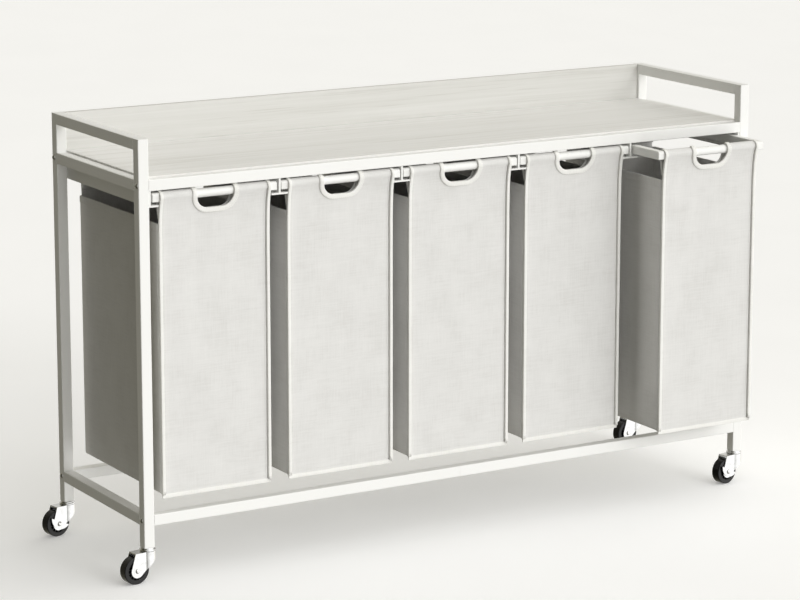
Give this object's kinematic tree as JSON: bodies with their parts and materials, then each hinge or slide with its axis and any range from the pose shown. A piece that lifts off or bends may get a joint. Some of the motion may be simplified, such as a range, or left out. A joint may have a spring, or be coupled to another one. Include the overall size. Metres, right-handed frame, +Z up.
{
  "type": "laundry sorter cart",
  "caption": "Laundry sorter on swivel casters: white steel frame, wood-grain shelf with back board and end rails, and pull-out fabric bags on runners.",
  "frame": {"origin": "middle of the whole footprint on the floor, with the casters trailing and one bag partly out", "axes": "+X to the right along the shelf, +Y from the front (handles) to the back board, +Z up"},
  "size_m": [1.3473, 0.45, 0.789],
  "materials": {
    "frame_paint": "satin white powder coat",
    "runner_paint": "satin white powder coat on sheet",
    "bar_paint": "satin white powder coat on tube",
    "shelf_wood": "whitewashed wood grain, matt",
    "base_board": "grey-white stiffening board, matt",
    "bag_fabric": "fine linen-look weave, off-white",
    "arm_plastic": "smooth white moulding",
    "socket_plastic": "smooth white moulding",
    "zinc": "bright zinc plate",
    "bolt_steel": "bright nickel plate",
    "wheel_black": "glossy black hard wheel"
  },
  "bodies": {
    "frame": {"leg_front_left": "frame_paint", "leg_front_right": "frame_paint", "leg_back_left": "frame_paint", "leg_back_right": "frame_paint", "handrail_left": "frame_paint", "side_top_rail_left": "frame_paint", "side_bottom_rail_left": "frame_paint", "handrail_right": "frame_paint", "side_top_rail_right": "frame_paint", "side_bottom_rail_right": "frame_paint", "front_top_rail": "frame_paint", "back_top_rail": "frame_paint", "front_bottom_rail": "frame_paint", "back_bottom_rail": "frame_paint", "rail_joiners": "runner_paint", "frame_bolts": "bolt_steel", "board_screws": "bolt_steel", "shelf_board": "shelf_wood", "back_board": "shelf_wood", "centre_runner_1": "runner_paint", "centre_runner_2": "runner_paint", "centre_runner_3": "runner_paint", "centre_runner_4": "runner_paint", "end_runners": "runner_paint", "leg_sockets": "socket_plastic", "caster_stems": "zinc"},
    "bag_1": {"bag_1_fabric": "bag_fabric", "bag_1_bars": "bar_paint", "bag_1_side_arms": "arm_plastic", "bag_1_base_board": "base_board"},
    "bag_2": {"bag_2_fabric": "bag_fabric", "bag_2_bars": "bar_paint", "bag_2_side_arms": "arm_plastic", "bag_2_base_board": "base_board"},
    "bag_3": {"bag_3_fabric": "bag_fabric", "bag_3_bars": "bar_paint", "bag_3_side_arms": "arm_plastic", "bag_3_base_board": "base_board"},
    "bag_4": {"bag_4_fabric": "bag_fabric", "bag_4_bars": "bar_paint", "bag_4_side_arms": "arm_plastic", "bag_4_base_board": "base_board"},
    "bag_5": {"bag_5_fabric": "bag_fabric", "bag_5_bars": "bar_paint", "bag_5_side_arms": "arm_plastic", "bag_5_base_board": "base_board"},
    "caster_front_left": {"caster_front_left_fork": "zinc", "caster_front_left_axle": "zinc"},
    "wheel_front_left": {"caster_front_left_wheel": "wheel_black"},
    "caster_front_right": {"caster_front_right_fork": "zinc", "caster_front_right_axle": "zinc"},
    "wheel_front_right": {"caster_front_right_wheel": "wheel_black"},
    "brake_front_right": {"caster_front_right_brake_lever": "zinc"},
    "caster_back_left": {"caster_back_left_fork": "zinc", "caster_back_left_axle": "zinc"},
    "wheel_back_left": {"caster_back_left_wheel": "wheel_black"},
    "brake_back_left": {"caster_back_left_brake_lever": "zinc"},
    "caster_back_right": {"caster_back_right_fork": "zinc", "caster_back_right_axle": "zinc"},
    "wheel_back_right": {"caster_back_right_wheel": "wheel_black"}
  },
  "joints": [
    {"name": "bag_1_slide", "type": "slide", "parent": "frame", "child": "bag_1", "axis": [0, -1, 0], "range_m": [0, 0.24]},
    {"name": "bag_2_slide", "type": "slide", "parent": "frame", "child": "bag_2", "axis": [0, -1, 0], "range_m": [0, 0.24]},
    {"name": "bag_3_slide", "type": "slide", "parent": "frame", "child": "bag_3", "axis": [0, -1, 0], "range_m": [0, 0.24]},
    {"name": "bag_4_slide", "type": "slide", "parent": "frame", "child": "bag_4", "axis": [0, -1, 0], "range_m": [0, 0.24]},
    {"name": "bag_5_slide", "type": "slide", "parent": "frame", "child": "bag_5", "axis": [0, -1, 0], "range_m": [-0.085, 0.155]},
    {"name": "caster_front_left_swivel", "type": "hinge", "parent": "frame", "child": "caster_front_left", "pos_m": [-0.62, -0.1275, 0.0565], "axis": [0, 0, 1], "continuous": true},
    {"name": "wheel_front_left_spin", "type": "hinge", "parent": "caster_front_left", "child": "wheel_front_left", "pos_m": [-0.64685, -0.13032, 0.025], "axis": [0.1045, -0.9945, 0], "continuous": true},
    {"name": "caster_front_right_swivel", "type": "hinge", "parent": "frame", "child": "caster_front_right", "pos_m": [0.66, -0.1275, 0.0565], "axis": [0, 0, 1], "continuous": true},
    {"name": "wheel_front_right_spin", "type": "hinge", "parent": "caster_front_right", "child": "wheel_front_right", "pos_m": [0.63341, -0.13219, 0.025], "axis": [0.1736, -0.9848, 0], "continuous": true},
    {"name": "brake_front_right_rock", "type": "hinge", "parent": "caster_front_right", "child": "brake_front_right", "pos_m": [0.63341, -0.13219, 0.025], "axis": [-0.1736, 0.9848, 0], "range_deg": [0, 20]},
    {"name": "caster_back_left_swivel", "type": "hinge", "parent": "frame", "child": "caster_back_left", "pos_m": [-0.62, 0.2125, 0.0565], "axis": [0, 0, 1], "continuous": true},
    {"name": "wheel_back_left_spin", "type": "hinge", "parent": "caster_back_left", "child": "wheel_back_left", "pos_m": [-0.6465, 0.20735, 0.025], "axis": [0.1908, -0.9816, 0], "continuous": true},
    {"name": "brake_back_left_rock", "type": "hinge", "parent": "caster_back_left", "child": "brake_back_left", "pos_m": [-0.6465, 0.20735, 0.025], "axis": [-0.1908, 0.9816, 0], "range_deg": [0, 20]},
    {"name": "caster_back_right_swivel", "type": "hinge", "parent": "frame", "child": "caster_back_right", "pos_m": [0.66, 0.2125, 0.0565], "axis": [0, 0, 1], "continuous": true},
    {"name": "wheel_back_right_spin", "type": "hinge", "parent": "caster_back_right", "child": "wheel_back_right", "pos_m": [0.6332, 0.20921, 0.025], "axis": [0.1219, -0.9925, 0], "continuous": true}
  ]
}
